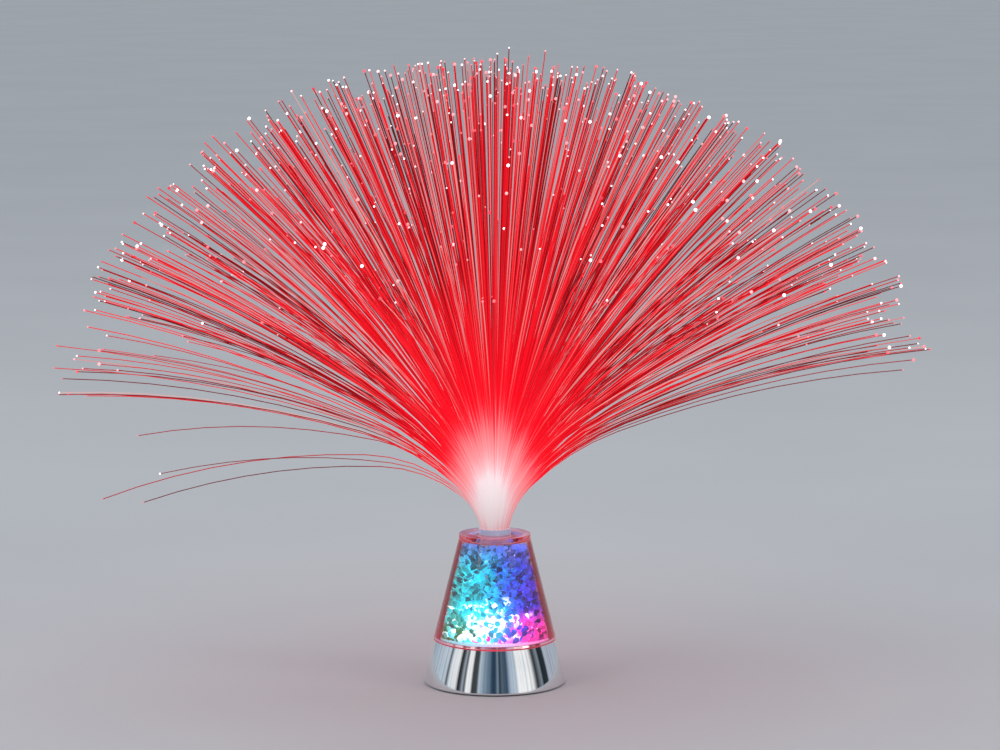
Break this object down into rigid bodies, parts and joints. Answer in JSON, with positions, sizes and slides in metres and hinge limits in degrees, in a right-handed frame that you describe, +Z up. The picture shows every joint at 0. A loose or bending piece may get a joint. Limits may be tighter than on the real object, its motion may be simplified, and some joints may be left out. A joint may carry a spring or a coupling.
{
  "type": "fiber optic lamp",
  "caption": "Battery-powered fibre optic lamp: chromed conical base, clear cup of lit crystal chips and a lift-out spray of glowing plastic fibres.",
  "frame": {"origin": "centre of the round base on the surface that the lamp stands on", "axes": "+Z up along the lamp's axis, -Y towards the front of the lamp, +X to the right seen from the front"},
  "size_m": [0.4922, 0.4263, 0.3619],
  "materials": {
    "chromed_abs": "chrome-plated moulding, mirror bright",
    "clear_acrylic": "clear, polished",
    "crystal_chips": "clear cut chips lit from below",
    "black_abs": "fine spark texture",
    "pad_rubber": "matt",
    "screw_steel": "zinc plated",
    "board_laminate": "solder mask on laminate",
    "chip_epoxy": "moulded epoxy",
    "switch_steel": "bright tin plate",
    "switch_nylon": "moulded",
    "ferrule_plastic": "translucent",
    "fibre_bundle": "cut and polished fibre ends",
    "cell_jacket": "plain printed sleeve",
    "contact_plate": "nickel plated",
    "lead_red": "insulation",
    "lead_black": "insulation",
    "fibre_glow": "clear fibre lit along its length",
    "led_red": "lit lens in a white package",
    "led_green": "lit lens in a white package",
    "led_magenta": "lit lens in a white package",
    "led_blue": "lit lens in a white package"
  },
  "bodies": {
    "base": {"base_shell": "chromed_abs", "crystal_cup": "clear_acrylic", "crystal_floor": "clear_acrylic", "crystal_chips": "crystal_chips", "bottom_plate": "black_abs", "foot_pads": "pad_rubber", "plate_screws": "screw_steel", "battery_1": "cell_jacket", "battery_2": "cell_jacket", "battery_3": "cell_jacket", "contact_left_single": "contact_plate", "contact_left_bridge": "contact_plate", "contact_right_single": "contact_plate", "contact_right_bridge": "contact_plate", "battery_lead_red": "lead_red", "battery_lead_black": "lead_black", "switch_lead": "lead_red", "light_board": "board_laminate", "controller": "chip_epoxy", "led_fibre": "led_red", "led_green": "led_green", "led_magenta": "led_magenta", "led_blue": "led_blue", "switch_body": "switch_steel"},
    "spray": {"ferrule": "ferrule_plastic", "bundle_core": "fibre_bundle", "fibres_core": "fibre_glow", "fibres_inner": "fibre_glow", "fibres_middle": "fibre_glow", "fibres_outer": "fibre_glow", "fibres_rim": "fibre_glow"},
    "door": {"battery_door": "black_abs"},
    "slider": {"switch_slider": "switch_nylon"}
  },
  "joints": [
    {"name": "spray_lift", "type": "slide", "parent": "base", "child": "spray", "axis": [0, 0, 1], "range_m": [0, 0.03]},
    {"name": "battery_door_hinge", "type": "hinge", "parent": "base", "child": "door", "pos_m": [-0.02575, 0, 0.0016], "axis": [0, 1, 0], "range_deg": [0, 95]},
    {"name": "switch_slide", "type": "slide", "parent": "base", "child": "slider", "axis": [1, 0, 0], "range_m": [0, 0.002]}
  ]
}
